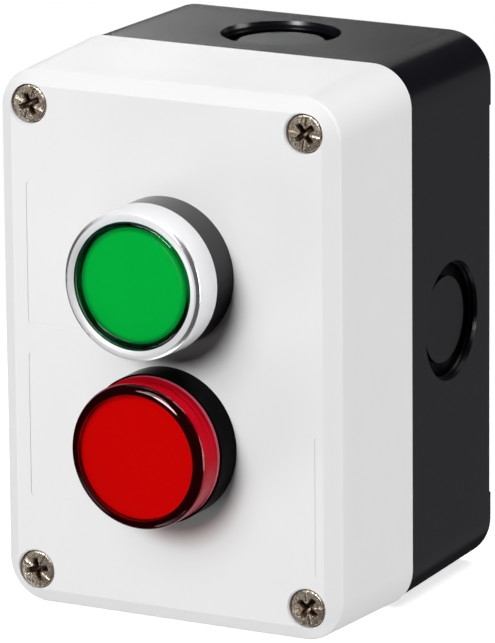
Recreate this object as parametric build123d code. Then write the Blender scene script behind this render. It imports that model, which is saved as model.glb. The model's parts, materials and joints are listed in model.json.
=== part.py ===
from build123d import *
import os

# A two-hole control station: an illuminated flush push button above a pilot light.
# Everything is drawn in the panel frame: x to the right, y up, z outwards from the lid's face at z = 0.
# The last step turns it into the part's frame: +Z up, the face towards -Y, the rear feet on the plane Y = 0.

# Small distances used throughout (millimetres)
FIT_GAP = 0.05
PICK_TOLERANCE = 0.01
CUT_PAST = 1.0

# Enclosure
WIDTH = 72.0
HEIGHT = 104.4
DEPTH = 63.6
LID_DEPTH = 29.1
LID_CORNER = 8.0
LID_DRAFT = 0.76
BEVEL_RUN = 2.9
BEVEL_DEPTH = 1.9
BEVEL_ROUND = 0.7
FACE_ROUND = 0.45
BASE_CORNER = 8.7
BASE_DRAFT = 0.48
FOOT_RISE = 0.5
FOOT_INNER_EDGE = 38.0
WALL = 3.0
FRONT_WALL = 3.0
FLOOR = 2.6
CAVITY_CORNER = 5.0
POST_BLOCK = 20.0
PARTING = -LID_DEPTH
REAR = -DEPTH
FLOOR_OUTSIDE = REAR + FOOT_RISE

# Lid screws and their posts
SCREW_X = 28.6
SCREW_Y = 44.9
POST_RADIUS = 4.9
HEAD_RADIUS = 3.55
HEAD_THICKNESS = 2.3
HEAD_SUNK = 0.35
HEAD_ROUND = 0.3
COUNTERBORE_RADIUS = 3.75
COUNTERBORE_CHAMFER = 0.3
SCREW_RADIUS = 1.95
SCREW_HOLE_RADIUS = 2.15
SCREW_LENGTH = 38.0
POST_HOLE_DEPTH = 14.0
POST_HOLE_RADIUS = 2.0
RECESS_WIDTH = 1.0
RECESS_LENGTH = 4.0
RECESS_DEPTH = 1.7
TICK_WIDTH = 0.3
TICK_INNER = 1.5
TICK_OUTER = 3.0
TICK_DEPTH = 0.3
SCREW_TURNS = {(-1, 1): 25, (1, 1): 38, (-1, -1): 12, (1, -1): 55}

# Seal between lid and base, measured outwards from the cavity's wall
GROOVE_BAND = (0.6, 1.8)
TONGUE_BAND = (0.75, 1.65)
SEAL_BAND = (0.65, 1.75)
GROOVE_DEPTH = 2.8
TONGUE_HEIGHT = 1.6
SEAL_THICKNESS = 1.1
SEAL_GAP = 0.05

# Wall fixing and cable entries in the base
WALL_HOLE_X = 16.0
WALL_HOLE_Y = 44.0
WALL_HOLE_RADIUS = 2.25
ENTRY_RADIUS = 11.25
ENTRY_FLARE = 0.2
ENTRY_FLARE_DEPTH = 0.85
ENTRY_DISC_RADIUS = 8.27
ENTRY_DISC_DEPTH = 1.6
ENTRY_GROOVE_RADIUS = 10.9
ENTRY_GROOVE_DEPTH = 2.4
ENTRY_FROM_REAR = 17.4

# Shallow shapes moulded into the lid's face
POCKET_LEFT = -29.4
POCKET_FADE = -18.2
POCKET_DEPTH = 0.14
POCKET_HEIGHTS = ((2.8, 30.2), (-30.5, -2.6))
POCKET_CORNER = 0.8
PAD_RIGHT = 30.5
PAD_FADE = 25.1
PAD_RISE = 0.1
PAD_HEIGHTS = (-38.5, -12.0)

# Panel holes for 22 mm units
UNIT_Y = 16.3
PANEL_HOLE_RADIUS = 11.15
NOTCH_WIDTH = 3.3
NOTCH_TOP = 12.7
KEY_WIDTH = 3.0
KEY_TOP = 12.5
KEY_ROOT = 1.0
BARREL_RADIUS = 11.0
GASKET_OUTER = 13.4
GASKET_INNER = 11.3
GASKET_THICKNESS = 1.0
NUT_INNER = 11.08
NUT_OUTER = 14.4
NUT_LENGTH = 5.0
NUT_SLOTS = 8
NUT_SLOT_WIDTH = 3.0
NUT_SLOT_DEPTH = 1.2
NUT_CHAMFER = 0.5

# Push button
TRAVEL = 4.5
OVERTRAVEL = 0.6
COLLAR_RADIUS = 14.07
COLLAR_TOP = 6.7
NECK_RADIUS = 12.9
NECK_TOP = 11.5
CUP_RADIUS = 12.1
CUP_FLOOR = 2.5
SPRING_BORE = 10.0
SHELF_TOP = -9.0
GUIDE_RADIUS = 8.8
BARREL_END = -14.0
BEZEL_REAR_RADIUS = 14.27
BEZEL_FRONT_RADIUS = 13.9
BEZEL_INNER = 13.0
BEZEL_FRONT = 13.3
BEZEL_ROUND = 0.65
BEZEL_LIP_INNER_DROP = 0.35
LENS_RADIUS = 11.94
LENS_FRONT = 13.3
LENS_REAR = 8.3
LENS_BORE = 11.05
LENS_THICKNESS = 1.3
LENS_ROUND = 0.5
DIFFUSER_RADIUS = 11.0
DIFFUSER_THICKNESS = 0.9
DIFFUSER_RIM = 0.9
PLUNGER_FLANGE_RADIUS = 11.85
PLUNGER_FLANGE_REAR = CUP_FLOOR + TRAVEL + OVERTRAVEL
PLUNGER_BOSS_RADIUS = 10.9
PLUNGER_BOSS_TOP = 9.0
TUBE_RADIUS = 8.6
TUBE_BORE = 6.0
PLUNGER_END = -15.0
LUG_RADIUS = 9.35
LUG_WIDTH = 6.0
RETURN_SPRING_RADIUS = 9.3
RETURN_SPRING_WIRE = 0.4
RETURN_SPRING_TURNS = 7

# Contact adapter behind the lid
ADAPTER_FRONT = -8.5
ADAPTER_END = -20.0
ADAPTER_WIDTH = 31.0
ADAPTER_HEIGHT = 30.0
ADAPTER_CORNER = 3.0
ADAPTER_BORE = 11.1
ADAPTER_REAR_BORE = 10.0
CLAMP_SCREW_Z = -11.3
CLAMP_SCREW_RADIUS = 1.4
CLAMP_HEAD_RADIUS = 2.3
CLAMP_HEAD_THICKNESS = 1.8

# Contact block
BLOCK_X = -10.3
BLOCK_WIDTH = 9.6
BLOCK_HEIGHT = 29.0
BLOCK_END = -46.0
BLOCK_WALL = 1.2
BLOCK_FRONT_WALL = 1.4
STEM_INNER_X = -6.9
STEM_OUTER_X = -9.6
STEM_HALF_HEIGHT = 1.8
STEM_ROOT = 3.0
STEM_SIDE_GAP = 0.15
STEM_REST_GAP = 0.1
PUSHER_REST_GAP = 0.2
PUSHER_HALF_WIDTH = 2.7
PUSHER_HALF_HEIGHT = 3.5
PUSHER_END = -36.5
WINDOW_HALF_WIDTH = 1.7
WINDOW_FRONT = -25.5
WINDOW_REAR = -32.5
BRIDGE_HALF_WIDTH = 1.5
BRIDGE_HALF_LENGTH = 9.2
STRIP_THICKNESS = 0.8
TIP_Y = 7.6
TIP_RADIUS = 1.4
TIP_HEIGHT = 0.8
CONTACT_GAP = 2.5
STRIP_INNER_Y = 6.2
STRIP_HALF_WIDTH = 2.4
LEDGE_INNER_Y = 9.6
LEDGE_DEPTH = 3.1
TERMINAL_Y = 11.1
TERMINAL_SCREW_RADIUS = 1.35
TERMINAL_HOLE_RADIUS = 1.45
TERMINAL_HEAD_RADIUS = 2.15
TERMINAL_HEAD_THICKNESS = 1.8
CLAMP_OPENING = 1.2
DRIVER_SLOT = 0.6
SHANK_END_GAP = 0.5
WIRE_HOLE_HALF_WIDTH = 2.2
WIRE_HOLE_HEIGHT = 3.0
DRIVER_HOLE_RADIUS = 2.7
CONTACT_SPRING_RADIUS = 1.25
CONTACT_SPRING_WIRE = 0.2
CONTACT_SPRING_TURNS = 6
PUSHER_SPRING_RADIUS = 2.2
PUSHER_SPRING_WIRE = 0.25
PUSHER_SPRING_TURNS = 5

# Lamp of the push button
HOLDER_END = -34.0
SOCKET_RADIUS = 5.6
SOCKET_BORE = 4.8
SOCKET_TOP = -7.0
LAMP_CAP_RADIUS = 4.6
LAMP_CAP_BOTTOM = -20.5
LAMP_CAP_TOP = -8.0
LAMP_GLOBE_RADIUS = 4.4
LAMP_GLOBE_TOP = 2.5
LAMP_STRIP_Z = -24.0
LAMP_LEG_Y = 3.2
LAMP_TERMINAL_Y = 10.2
LAMP_CAP_ROUND = 0.8
LAMP_GLOBE_FLAT = 0.6
LEG_THICKNESS = 0.8
LEG_HALF_WIDTH = 1.5
LEG_GAP = 0.1
BLIND_HOLE_WEB = 1.0

# Pilot light
PILOT_COLLAR_RADIUS = 14.32
PILOT_COLLAR_TOP = 5.8
PILOT_NECK_RADIUS = 11.8
PILOT_NECK_BORE = 10.6
PILOT_NECK_TOP = 9.2
PILOT_LENS_REAR_RADIUS = 13.95
PILOT_LENS_FRONT_RADIUS = 13.85
PILOT_LENS_FRONT = 12.8
PILOT_LENS_BORE = 11.95
PILOT_LENS_THICKNESS = 1.5
PILOT_LENS_ROUND = 1.4
PILOT_DIFFUSER_RADIUS = 11.8
BOARD_Z = -6.0
BOARD_RADIUS = 9.8
BOARD_THICKNESS = 1.6
PILOT_UPPER_BORE = 9.95
PILOT_BORE_TAPER = 1.0
PILOT_LOWER_BORE = 9.0
PILOT_BARREL_END = -26.0
LED_RADIUS = 1.5
LED_HEIGHT = 3.2
LED_RING_RADIUS = 5.6
LED_COUNT = 6
LED_FLAT = 0.2
PLUG_RADIUS = 8.9
PLUG_TOP = -22.0
COVER_RADIUS = 10.9
COVER_END = -36.0
COVER_POCKET_FLOOR = -30.0
COVER_POCKET_INNER = 1.2
COVER_POCKET_OUTER = 8.6
COVER_POCKET_HALF_HEIGHT = 4.6
PILOT_TERMINAL_X = 5.0
PILOT_LEG_X = 2.4
PILOT_STRIP_HALF_WIDTH = 3.0

CORNERS = [(side, end) for side in (-1, 1) for end in (-1, 1)]


def disc(radius, bottom, top, x=0, y=0):
    """A round solid between two heights."""
    return extrude(Pos(x, y, bottom) * Circle(radius), amount=top - bottom)


def ring(outer, inner, bottom, top, x=0, y=0):
    """A tube between two heights."""
    return disc(outer, bottom, top, x, y) - disc(inner, bottom, top, x, y)


def together(pieces):
    """Separate solids kept as one group."""
    return Part() + pieces


def block(x_span, y_span, z_span):
    """A rectangular solid given by its two ends on each axis."""
    spans = (x_span, y_span, z_span)
    size = [max(span) - min(span) for span in spans]
    centre = [(span[0] + span[1]) / 2 for span in spans]
    return Pos(*centre) * Box(*size)


def turned(points):
    """A solid of revolution about z from (radius, height) points."""
    outline = Plane.XZ * make_face(Polyline(*points, close=True))
    return revolve(outline, axis=Axis.Z)


def circles_at(shape, radius, height):
    """The round edges of a shape with this radius at this height."""
    return shape.edges().filter_by(
        lambda edge: edge.geom_type == GeomType.CIRCLE
        and abs(edge.radius - radius) < PICK_TOLERANCE
        and abs(edge.arc_center.Z - height) < PICK_TOLERANCE
    )


def edges_at(shape, height):
    """The edges of a shape that lie flat at this height."""
    return shape.edges().filter_by_position(Axis.Z, height - PICK_TOLERANCE, height + PICK_TOLERANCE)


def coil(radius, wire, bottom, top, turns):
    """A coil spring whose wire stays between two heights."""
    low = bottom + wire + FIT_GAP
    rise = top - bottom - 2 * (wire + FIT_GAP)
    path = Helix(pitch=rise / turns, height=rise, radius=radius, center=(0, 0, low))
    section = Plane(origin=path @ 0, z_dir=path % 0) * Circle(wire)
    return sweep(section, path=path, is_frenet=True)


def rounded_slice(width, height, corner, z):
    return Pos(0, 0, z) * RectangleRounded(width, height, corner)


def cavity_outline(grow=0.0):
    """The inside of lid and base: a rounded rectangle whose corners are filled by the screw posts."""
    width = WIDTH - 2 * WALL + 2 * grow
    height = HEIGHT - 2 * WALL + 2 * grow
    outline = RectangleRounded(width, height, CAVITY_CORNER + grow)
    post_radius = POST_RADIUS - grow
    post_middle = POST_BLOCK / 2 - post_radius
    post = RectangleRounded(POST_BLOCK, POST_BLOCK, post_radius)
    for side, end in CORNERS:
        outline -= Pos(side * (SCREW_X + post_middle), end * (SCREW_Y + post_middle)) * post
    return outline


def cavity_band(band, bottom, top):
    """A wall that follows the cavity, from one distance outside it to another."""
    outline = cavity_outline(band[1]) - cavity_outline(band[0])
    return extrude(Pos(0, 0, bottom) * outline, amount=top - bottom)


def drafted_base():
    """The base's outside, narrowing towards the rear, with its two raised feet."""
    rear_width = WIDTH - 2 * BASE_DRAFT
    rear_height = HEIGHT - 2 * BASE_DRAFT
    body = loft(
        [
            rounded_slice(rear_width, rear_height, BASE_CORNER, FLOOR_OUTSIDE),
            rounded_slice(WIDTH, HEIGHT, BASE_CORNER, PARTING),
        ],
        ruled=True,
    )
    foot_plate = extrude(rounded_slice(rear_width, rear_height, BASE_CORNER, REAR), amount=FOOT_RISE)
    gap_between_feet = block((-WIDTH, WIDTH), (-FOOT_INNER_EDGE, FOOT_INNER_EDGE), (REAR, FLOOR_OUTSIDE))
    return body + (foot_plate - gap_between_feet)


def cable_entry_cut():
    """What a knockout removes from a wall whose surface is at z = 0: a flared bore and a groove round a disc."""
    mouth_radius = ENTRY_RADIUS + ENTRY_FLARE
    above = disc(mouth_radius, 0, CUT_PAST)
    flare = Pos(0, 0, -ENTRY_FLARE_DEPTH / 2) * Cone(ENTRY_RADIUS, mouth_radius, ENTRY_FLARE_DEPTH)
    bore = disc(ENTRY_RADIUS, -ENTRY_DISC_DEPTH, -ENTRY_FLARE_DEPTH)
    groove = ring(ENTRY_GROOVE_RADIUS, ENTRY_DISC_RADIUS, -ENTRY_GROOVE_DEPTH, -ENTRY_DISC_DEPTH)
    return above + flare + bore + groove


def base_box():
    cavity_floor = FLOOR_OUTSIDE + FLOOR
    body = drafted_base()
    body -= extrude(Pos(0, 0, cavity_floor) * cavity_outline(), amount=PARTING - cavity_floor)
    body += cavity_band(TONGUE_BAND, PARTING, PARTING + TONGUE_HEIGHT)
    for side, end in CORNERS:
        body -= disc(POST_HOLE_RADIUS, PARTING - POST_HOLE_DEPTH, PARTING, side * SCREW_X, end * SCREW_Y)
        body -= disc(WALL_HOLE_RADIUS, REAR, cavity_floor, side * WALL_HOLE_X, end * WALL_HOLE_Y)
    entry_z = REAR + ENTRY_FROM_REAR
    base_depth = PARTING - FLOOR_OUTSIDE
    draft_there = BASE_DRAFT * (PARTING - entry_z) / base_depth
    side_distance = WIDTH / 2 - draft_there
    end_distance = HEIGHT / 2 - draft_there
    body -= Pos(0, end_distance, entry_z) * Rot(-90, 0, 0) * cable_entry_cut()
    body -= Pos(0, -end_distance, entry_z) * Rot(90, 0, 0) * cable_entry_cut()
    body -= Pos(side_distance, 0, entry_z) * Rot(0, 90, 0) * cable_entry_cut()
    body -= Pos(-side_distance, 0, entry_z) * Rot(0, -90, 0) * cable_entry_cut()
    return body


def lid_outside():
    """The lid's outer form: drafted sides and a sloped front edge, both edges of the slope eased."""
    neck_width = WIDTH - 2 * LID_DRAFT
    neck_height = HEIGHT - 2 * LID_DRAFT
    face_width = neck_width - 2 * BEVEL_RUN
    face_height = neck_height - 2 * BEVEL_RUN
    sides = loft(
        [
            rounded_slice(WIDTH, HEIGHT, LID_CORNER, PARTING),
            rounded_slice(neck_width, neck_height, LID_CORNER, -BEVEL_DEPTH),
        ],
        ruled=True,
    )
    front = loft(
        [
            rounded_slice(neck_width, neck_height, LID_CORNER, -BEVEL_DEPTH),
            rounded_slice(face_width, face_height, LID_CORNER - BEVEL_RUN, 0),
        ],
        ruled=True,
    )
    body = sides + front
    body = fillet(edges_at(body, -BEVEL_DEPTH), BEVEL_ROUND)
    return fillet(edges_at(body, 0), FACE_ROUND)


def label_pocket(low, high):
    """A wedge that is deepest at the left and fades out to the right."""
    wedge = Polyline(
        (POCKET_LEFT, -POCKET_DEPTH),
        (POCKET_FADE, 0),
        (POCKET_FADE, CUT_PAST),
        (POCKET_LEFT, CUT_PAST),
        close=True,
    )
    cut = Pos(0, high, 0) * extrude(Plane.XZ * make_face(wedge), amount=high - low)
    left_edges = cut.edges().filter_by(Axis.Z).group_by(Axis.X)[0]
    return fillet(left_edges, POCKET_CORNER)


def face_pad():
    """A thin wedge that stands highest at its right edge."""
    low, high = PAD_HEIGHTS
    wedge = Polyline(
        (PAD_FADE, 0), (PAD_RIGHT, PAD_RISE), (PAD_RIGHT, -FACE_ROUND), (PAD_FADE, -FACE_ROUND), close=True
    )
    return Pos(0, high, 0) * extrude(Plane.XZ * make_face(wedge), amount=high - low)


def lid():
    body = lid_outside()
    cavity_depth = LID_DEPTH - FRONT_WALL
    body -= extrude(Pos(0, 0, PARTING) * cavity_outline(), amount=cavity_depth)
    body -= cavity_band(GROOVE_BAND, PARTING, PARTING + GROOVE_DEPTH)
    for low, high in POCKET_HEIGHTS:
        body -= label_pocket(low, high)
    body += face_pad()
    for end in (-1, 1):
        y = end * UNIT_Y
        body -= disc(PANEL_HOLE_RADIUS, -FRONT_WALL, CUT_PAST, 0, y)
        body -= block((-NOTCH_WIDTH / 2, NOTCH_WIDTH / 2), (y, y + NOTCH_TOP), (-FRONT_WALL, CUT_PAST))
    counterbore_floor = -HEAD_SUNK - HEAD_THICKNESS
    mouth_radius = COUNTERBORE_RADIUS + COUNTERBORE_CHAMFER
    mouth = Pos(0, 0, -COUNTERBORE_CHAMFER / 2) * Cone(COUNTERBORE_RADIUS, mouth_radius, COUNTERBORE_CHAMFER)
    for side, end in CORNERS:
        x = side * SCREW_X
        y = end * SCREW_Y
        body -= disc(COUNTERBORE_RADIUS, counterbore_floor, CUT_PAST, x, y)
        body -= disc(SCREW_HOLE_RADIUS, PARTING, counterbore_floor, x, y)
        body -= Pos(x, y, 0) * mouth
    return body


def lid_screw(turn):
    """One cross-recess screw with its head's top at z = 0, turned as it was left after tightening."""
    head = disc(HEAD_RADIUS, -HEAD_THICKNESS + FIT_GAP, 0)
    head = fillet(circles_at(head, HEAD_RADIUS, 0), HEAD_ROUND)
    screw = head + disc(SCREW_RADIUS, -HEAD_THICKNESS - SCREW_LENGTH, -HEAD_THICKNESS + FIT_GAP)
    arm = Box(RECESS_LENGTH, RECESS_WIDTH, 2 * RECESS_DEPTH)
    tick = Box(TICK_OUTER - TICK_INNER, TICK_WIDTH, 2 * TICK_DEPTH)
    tick_middle = (TICK_OUTER + TICK_INNER) / 2
    screw -= arm + Rot(0, 0, 90) * arm
    for quarter in range(4):
        screw -= Rot(0, 0, 45 + 90 * quarter) * Pos(tick_middle, 0, 0) * tick
    return Rot(0, 0, turn) * screw


def lid_screws():
    screws = []
    for (side, end), turn in SCREW_TURNS.items():
        screws.append(Pos(side * SCREW_X, end * SCREW_Y, -HEAD_SUNK) * lid_screw(turn))
    return together(screws)


def lid_gasket():
    bottom = PARTING + TONGUE_HEIGHT + SEAL_GAP
    return cavity_band(SEAL_BAND, bottom, bottom + SEAL_THICKNESS)


def unit_gasket(y):
    return ring(GASKET_OUTER - FIT_GAP, GASKET_INNER + FIT_GAP, 0, GASKET_THICKNESS - FIT_GAP, 0, y)


def gasket_groove():
    return ring(GASKET_OUTER, GASKET_INNER, 0, GASKET_THICKNESS)


def barrel_key():
    key_bottom = BARREL_RADIUS - KEY_ROOT
    return block((-KEY_WIDTH / 2, KEY_WIDTH / 2), (key_bottom, KEY_TOP), (-FRONT_WALL + FIT_GAP, 0))


def lock_nut(y):
    """A ring nut on the barrel, tight against the back of the lid, with slots for a ring spanner."""
    rear = -FRONT_WALL - NUT_LENGTH
    nut = ring(NUT_OUTER, NUT_INNER, rear, -FRONT_WALL)
    nut = chamfer(circles_at(nut, NUT_OUTER, rear), NUT_CHAMFER)
    slot_span = (NUT_OUTER - NUT_SLOT_DEPTH, NUT_OUTER + CUT_PAST)
    for index in range(NUT_SLOTS):
        slot = block(slot_span, (-NUT_SLOT_WIDTH / 2, NUT_SLOT_WIDTH / 2), (rear, -FRONT_WALL))
        nut -= Rot(0, 0, 360 * index / NUT_SLOTS) * slot
    return Pos(0, y, 0) * nut


def button_housing():
    shell = turned(
        [
            (GUIDE_RADIUS, BARREL_END),
            (BARREL_RADIUS, BARREL_END),
            (BARREL_RADIUS, 0),
            (COLLAR_RADIUS, 0),
            (COLLAR_RADIUS, COLLAR_TOP),
            (NECK_RADIUS, COLLAR_TOP),
            (NECK_RADIUS, NECK_TOP),
            (CUP_RADIUS, NECK_TOP),
            (CUP_RADIUS, CUP_FLOOR),
            (SPRING_BORE, CUP_FLOOR),
            (SPRING_BORE, SHELF_TOP),
            (GUIDE_RADIUS, SHELF_TOP),
        ]
    )
    key = barrel_key() - disc(SPRING_BORE, -FRONT_WALL, 0)
    return Pos(0, UNIT_Y, 0) * (shell - gasket_groove() + key)


def button_bezel():
    lip_front = BEZEL_FRONT - BEZEL_LIP_INNER_DROP
    body = turned(
        [
            (BEZEL_INNER, COLLAR_TOP + FIT_GAP),
            (BEZEL_REAR_RADIUS, COLLAR_TOP + FIT_GAP),
            (BEZEL_FRONT_RADIUS, BEZEL_FRONT),
            (BEZEL_INNER, BEZEL_FRONT),
            (CUP_RADIUS, lip_front),
            (CUP_RADIUS, NECK_TOP + FIT_GAP),
            (BEZEL_INNER, NECK_TOP + FIT_GAP),
        ]
    )
    body = fillet(circles_at(body, BEZEL_FRONT_RADIUS, BEZEL_FRONT), BEZEL_ROUND)
    return Pos(0, UNIT_Y, 0) * body


def cap_lens(rear_radius, front_radius, bore, rear, front, thickness, edge_round, y):
    """A transparent cup with its mouth to the rear and a rounded front edge."""
    body = turned([(0, rear), (rear_radius, rear), (front_radius, front), (0, front)])
    body = fillet(circles_at(body, front_radius, front), edge_round)
    return Pos(0, y, 0) * (body - disc(bore, rear, front - thickness))


def button_lens():
    return cap_lens(
        LENS_RADIUS, LENS_RADIUS, LENS_BORE, LENS_REAR, LENS_FRONT, LENS_THICKNESS, LENS_ROUND, UNIT_Y
    )


def diffuser_cup(radius, rear, front, y):
    """A shallow white cup behind a lens: a flat disc on a rim."""
    return ring(radius, radius - DIFFUSER_RIM, rear, front, 0, y) + disc(
        radius, front - DIFFUSER_THICKNESS, front, 0, y
    )


def button_diffuser():
    front = LENS_FRONT - LENS_THICKNESS - FIT_GAP
    return diffuser_cup(DIFFUSER_RADIUS, PLUNGER_BOSS_TOP + FIT_GAP, front, UNIT_Y)


def button_plunger():
    flange_front = LENS_REAR - FIT_GAP
    flange = disc(PLUNGER_FLANGE_RADIUS, PLUNGER_FLANGE_REAR, flange_front)
    boss = disc(PLUNGER_BOSS_RADIUS, flange_front, PLUNGER_BOSS_TOP)
    tube = disc(TUBE_RADIUS, PLUNGER_END, flange_front)
    lug_ring = disc(LUG_RADIUS, PLUNGER_END, BARREL_END - FIT_GAP)
    lug_width = (-LUG_WIDTH / 2, LUG_WIDTH / 2)
    lugs = lug_ring & block(lug_width, (-LUG_RADIUS, LUG_RADIUS), (PLUNGER_END, BARREL_END))
    body = flange + boss + tube + lugs - disc(TUBE_BORE, PLUNGER_END, PLUNGER_BOSS_TOP)
    return Pos(0, UNIT_Y, 0) * body


def button_return_spring():
    spring = coil(
        RETURN_SPRING_RADIUS, RETURN_SPRING_WIRE, SHELF_TOP, PLUNGER_FLANGE_REAR, RETURN_SPRING_TURNS
    )
    return Pos(0, UNIT_Y, 0) * spring


def contact_adapter():
    """The carrier on the barrel's rear end, with a plate for the blocks."""
    body = extrude(
        Pos(0, 0, ADAPTER_END) * RectangleRounded(ADAPTER_WIDTH, ADAPTER_HEIGHT, ADAPTER_CORNER),
        amount=ADAPTER_FRONT - ADAPTER_END,
    )
    body -= disc(ADAPTER_BORE, BARREL_END - FIT_GAP, ADAPTER_FRONT)
    body -= disc(ADAPTER_REAR_BORE, ADAPTER_END, BARREL_END)
    clamp_hole = Rot(0, 90, 0) * disc(TERMINAL_HOLE_RADIUS, SPRING_BORE, ADAPTER_WIDTH / 2 + CUT_PAST)
    return Pos(0, UNIT_Y, 0) * (body - Pos(0, 0, CLAMP_SCREW_Z) * clamp_hole)


def driver_slot(head_radius, bottom, top):
    return block((-head_radius, head_radius), (-DRIVER_SLOT / 2, DRIVER_SLOT / 2), (bottom, top))


def adapter_clamp_screw():
    shank_start = ADAPTER_BORE + FIT_GAP
    head_start = ADAPTER_WIDTH / 2 + FIT_GAP
    shank = disc(CLAMP_SCREW_RADIUS, shank_start, head_start)
    head = disc(CLAMP_HEAD_RADIUS, head_start, head_start + CLAMP_HEAD_THICKNESS)
    head_top = head_start + CLAMP_HEAD_THICKNESS
    slot = driver_slot(CLAMP_HEAD_RADIUS, head_top - CLAMP_HEAD_THICKNESS / 3, head_top)
    return Pos(0, UNIT_Y, CLAMP_SCREW_Z) * Rot(0, 90, 0) * (shank + head - slot)


def terminal_screw(head_front, shank_length):
    """A slotted screw driven from the rear: its head lies behind head_front, its shank in front."""
    head_rear = head_front - TERMINAL_HEAD_THICKNESS
    head = disc(TERMINAL_HEAD_RADIUS, head_rear, head_front)
    shank = disc(TERMINAL_SCREW_RADIUS, head_front, head_front + shank_length)
    slot = driver_slot(TERMINAL_HEAD_RADIUS, head_rear, head_rear + TERMINAL_HEAD_THICKNESS / 3)
    return head + shank - slot


# The contact block is drawn about its own centre line and moved to BLOCK_X and UNIT_Y at the end.
HALF_BLOCK = BLOCK_WIDTH / 2
HALF_BLOCK_HEIGHT = BLOCK_HEIGHT / 2
CAVITY_TOP = HALF_BLOCK_HEIGHT - BLOCK_WALL
BRIDGE_REAR = WINDOW_REAR + FIT_GAP
BRIDGE_TIP = BRIDGE_REAR - TIP_HEIGHT
FIXED_TIP = BRIDGE_TIP - CONTACT_GAP
STRIP_FRONT = FIXED_TIP - TIP_HEIGHT
STRIP_REAR = STRIP_FRONT - STRIP_THICKNESS
CLAMP_FRONT = STRIP_REAR - CLAMP_OPENING
CLAMP_REAR = CLAMP_FRONT - STRIP_THICKNESS


def in_block(shape):
    """Moves a shape from the block's centre line to its place behind the button."""
    return Pos(BLOCK_X, UNIT_Y, 0) * shape


def mirrored_pair(shape):
    """A shape and its mirror image below the block's centre."""
    return together([shape, mirror(shape, about=Plane.XZ)])


def contact_block_case():
    """The block's shell, open towards its cover on the left."""
    cover_face = -HALF_BLOCK + BLOCK_WALL
    body = block((cover_face, HALF_BLOCK), (-HALF_BLOCK_HEIGHT, HALF_BLOCK_HEIGHT), (BLOCK_END, ADAPTER_END))
    cavity_right = HALF_BLOCK - BLOCK_WALL
    cavity_rear = BLOCK_END + BLOCK_WALL
    cavity_front = ADAPTER_END - BLOCK_FRONT_WALL
    body -= block((-HALF_BLOCK, cavity_right), (-CAVITY_TOP, CAVITY_TOP), (cavity_rear, cavity_front))
    stem_left = STEM_OUTER_X - BLOCK_X - STEM_SIDE_GAP
    stem_right = STEM_INNER_X - BLOCK_X + STEM_SIDE_GAP
    stem_top = STEM_HALF_HEIGHT + STEM_SIDE_GAP
    body -= block((stem_left, stem_right), (-stem_top, stem_top), (cavity_front, ADAPTER_END))
    for end in (-1, 1):
        ledge_height = (STRIP_FRONT + LEG_GAP, STRIP_FRONT + LEDGE_DEPTH)
        body += block((cover_face, cavity_right), (end * LEDGE_INNER_Y, end * CAVITY_TOP), ledge_height)
        y = end * TERMINAL_Y
        body -= disc(TERMINAL_HOLE_RADIUS, STRIP_FRONT, STRIP_FRONT + LEDGE_DEPTH, 0, y)
        body -= disc(DRIVER_HOLE_RADIUS, BLOCK_END, cavity_rear, 0, y)
        body -= block(
            (-WIRE_HOLE_HALF_WIDTH, WIRE_HOLE_HALF_WIDTH),
            (end * CAVITY_TOP, end * HALF_BLOCK_HEIGHT),
            (CLAMP_FRONT - WIRE_HOLE_HEIGHT / 2, CLAMP_FRONT + WIRE_HOLE_HEIGHT / 2),
        )
    return in_block(body)


def contact_block_cover():
    plate = (-HALF_BLOCK, -HALF_BLOCK + BLOCK_WALL)
    return in_block(block(plate, (-HALF_BLOCK_HEIGHT, HALF_BLOCK_HEIGHT), (BLOCK_END, ADAPTER_END)))


def contact_pusher():
    """The stem in front of the block, and the body whose window carries the bridge and its spring."""
    body_front = ADAPTER_END - BLOCK_FRONT_WALL - PUSHER_REST_GAP
    stem_front = PLUNGER_END - STEM_REST_GAP
    body_height = (-PUSHER_HALF_HEIGHT, PUSHER_HALF_HEIGHT)
    stem_width = (STEM_OUTER_X - BLOCK_X, STEM_INNER_X - BLOCK_X)
    body = block((-PUSHER_HALF_WIDTH, PUSHER_HALF_WIDTH), body_height, (PUSHER_END, body_front))
    body += block(stem_width, (-STEM_HALF_HEIGHT, STEM_HALF_HEIGHT), (WINDOW_FRONT + STEM_ROOT, stem_front))
    body -= block((-WINDOW_HALF_WIDTH, WINDOW_HALF_WIDTH), body_height, (WINDOW_REAR, WINDOW_FRONT))
    return in_block(body)


def contact_bridge():
    bar_width = (-BRIDGE_HALF_WIDTH, BRIDGE_HALF_WIDTH)
    bar_length = (-BRIDGE_HALF_LENGTH, BRIDGE_HALF_LENGTH)
    bar = block(bar_width, bar_length, (BRIDGE_REAR, BRIDGE_REAR + STRIP_THICKNESS))
    for end in (-1, 1):
        bar += disc(TIP_RADIUS, BRIDGE_TIP, BRIDGE_REAR, 0, end * TIP_Y)
    return in_block(bar)


def fixed_contacts():
    strip_length = (STRIP_INNER_Y, CAVITY_TOP - FIT_GAP)
    strip = block((-STRIP_HALF_WIDTH, STRIP_HALF_WIDTH), strip_length, (STRIP_REAR, STRIP_FRONT))
    strip += disc(TIP_RADIUS, STRIP_FRONT, FIXED_TIP, 0, TIP_Y)
    strip -= disc(TERMINAL_HOLE_RADIUS, STRIP_REAR, STRIP_FRONT, 0, TERMINAL_Y)
    return in_block(mirrored_pair(strip))


def contact_terminal_clamps():
    half_side = TERMINAL_HEAD_RADIUS
    plate_height = (TERMINAL_Y - half_side, TERMINAL_Y + half_side)
    plate = block((-half_side, half_side), plate_height, (CLAMP_REAR, CLAMP_FRONT))
    plate -= disc(TERMINAL_HOLE_RADIUS, CLAMP_REAR, CLAMP_FRONT, 0, TERMINAL_Y)
    return in_block(mirrored_pair(plate))


def contact_terminal_screws():
    shank_length = STRIP_FRONT + LEDGE_DEPTH - CLAMP_REAR - SHANK_END_GAP
    screw = Pos(0, TERMINAL_Y, 0) * terminal_screw(CLAMP_REAR - FIT_GAP, shank_length)
    return in_block(mirrored_pair(screw))


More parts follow.
